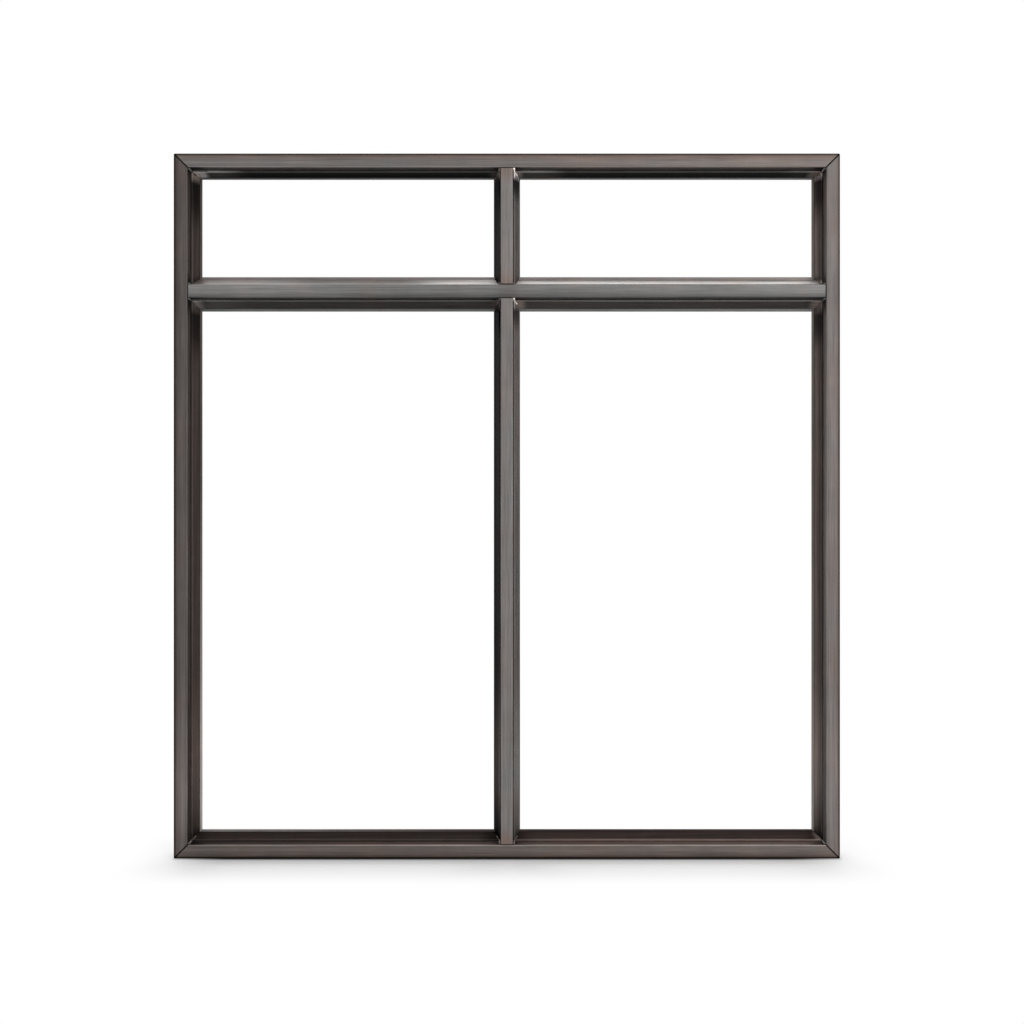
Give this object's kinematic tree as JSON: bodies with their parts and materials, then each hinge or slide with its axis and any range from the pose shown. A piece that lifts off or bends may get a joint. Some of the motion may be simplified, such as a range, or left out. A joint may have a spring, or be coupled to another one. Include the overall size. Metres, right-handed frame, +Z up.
{
  "type": "metal window frame",
  "caption": "Unglazed steel window frame of welded hollow bars, with a transom and a mullion that divide it into small upper and tall lower lights, each ringed by splayed stops.",
  "frame": {"origin": "middle of the sill's underside: the centre of the overall width and depth, at the lowest point", "axes": "+X to the right as seen from the front, +Y from the front face to the back, +Z up"},
  "size_m": [1.2, 0.05, 1.27],
  "materials": {
    "bar_steel": "dark blackened steel with fine streaks along each bar, satin",
    "stop_steel": "darker blackened steel, satin, bright along the lip",
    "weld_metal": "bare weld metal, rippled and brighter than the bars"
  },
  "bodies": {
    "root": {"head": "bar_steel", "sill": "bar_steel", "left_stile": "bar_steel", "right_stile": "bar_steel", "transom": "bar_steel", "upper_mullion": "bar_steel", "lower_mullion": "bar_steel", "upper_left_light_left_stop": "stop_steel", "upper_left_light_top_stop": "stop_steel", "upper_left_light_right_stop": "stop_steel", "upper_left_light_bottom_stop": "stop_steel", "upper_right_light_left_stop": "stop_steel", "upper_right_light_top_stop": "stop_steel", "upper_right_light_right_stop": "stop_steel", "upper_right_light_bottom_stop": "stop_steel", "lower_left_light_left_stop": "stop_steel", "lower_left_light_top_stop": "stop_steel", "lower_left_light_right_stop": "stop_steel", "lower_left_light_bottom_stop": "stop_steel", "lower_right_light_left_stop": "stop_steel", "lower_right_light_top_stop": "stop_steel", "lower_right_light_right_stop": "stop_steel", "lower_right_light_bottom_stop": "stop_steel", "welds_head_left": "weld_metal", "welds_head_mullion": "weld_metal", "welds_head_right": "weld_metal", "welds_transom_left": "weld_metal", "welds_transom_mullion": "weld_metal", "welds_transom_right": "weld_metal", "welds_sill_left": "weld_metal", "welds_sill_mullion": "weld_metal", "welds_sill_right": "weld_metal"}
  },
  "joints": []
}
